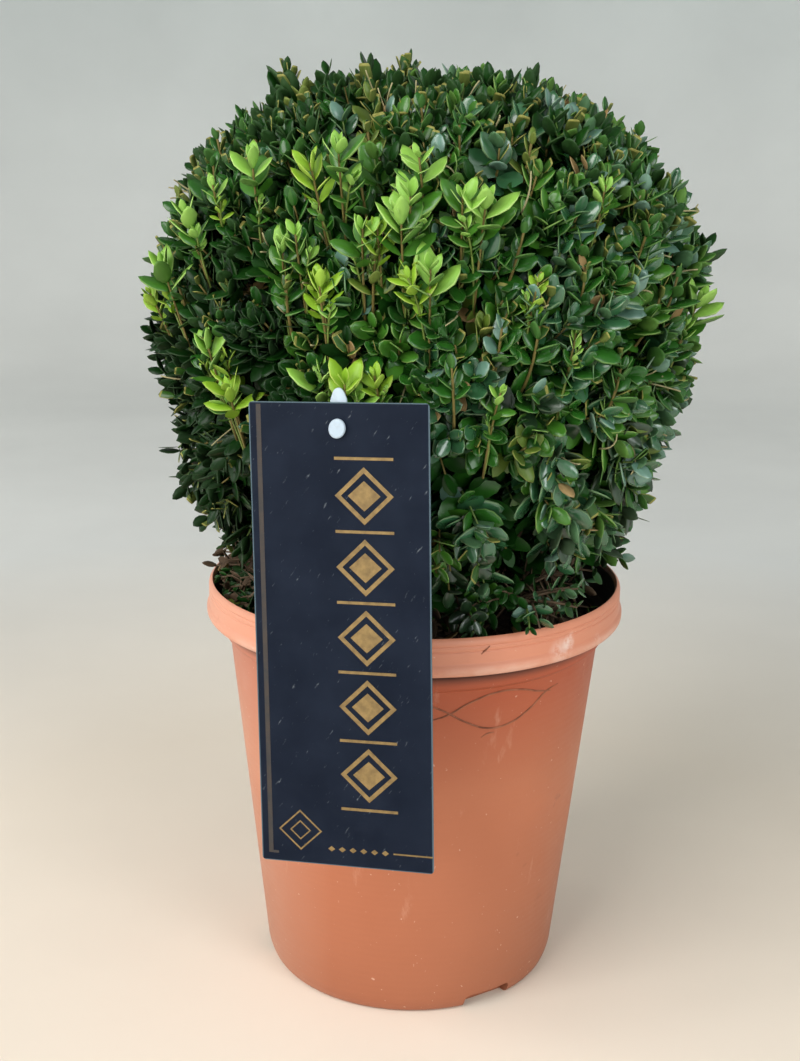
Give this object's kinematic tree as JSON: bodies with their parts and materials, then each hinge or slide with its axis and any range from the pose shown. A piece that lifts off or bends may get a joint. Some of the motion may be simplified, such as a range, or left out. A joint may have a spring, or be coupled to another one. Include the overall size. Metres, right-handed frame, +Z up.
{
  "type": "potted box topiary ball",
  "caption": "Evergreen box shrub clipped to a ball, in a tapered terracotta-coloured plastic pot of compost, with a blank plant tag.",
  "frame": {"origin": "middle of the pot's flat underside, on the pot's axis", "axes": "+Z up along the pot's axis; the tag hangs on the front, towards -Y, a little left of the middle; +X to the right seen from the front"},
  "size_m": [0.2428, 0.2651, 0.4113],
  "materials": {
    "pot": "satin",
    "soil": "matt",
    "bark": "rough",
    "leaf": "satin",
    "tag": "satin",
    "tie": "satin"
  },
  "bodies": {
    "root": {"pot": "pot", "soil": "soil", "main_stem": "bark", "ball_bough_1": "bark", "ball_bough_2": "bark", "ball_bough_3": "bark", "ball_bough_4": "bark", "skirt_bough_1": "bark", "skirt_bough_2": "bark", "skirt_bough_3": "bark", "skirt_bough_4": "bark", "skirt_bough_5": "bark", "crown_ball": "leaf", "skirt_spray_1": "leaf", "skirt_spray_2": "leaf", "skirt_spray_3": "leaf", "skirt_spray_4": "leaf", "skirt_spray_5": "leaf", "plant_tag": "tag", "tag_tie": "tie"}
  },
  "joints": []
}
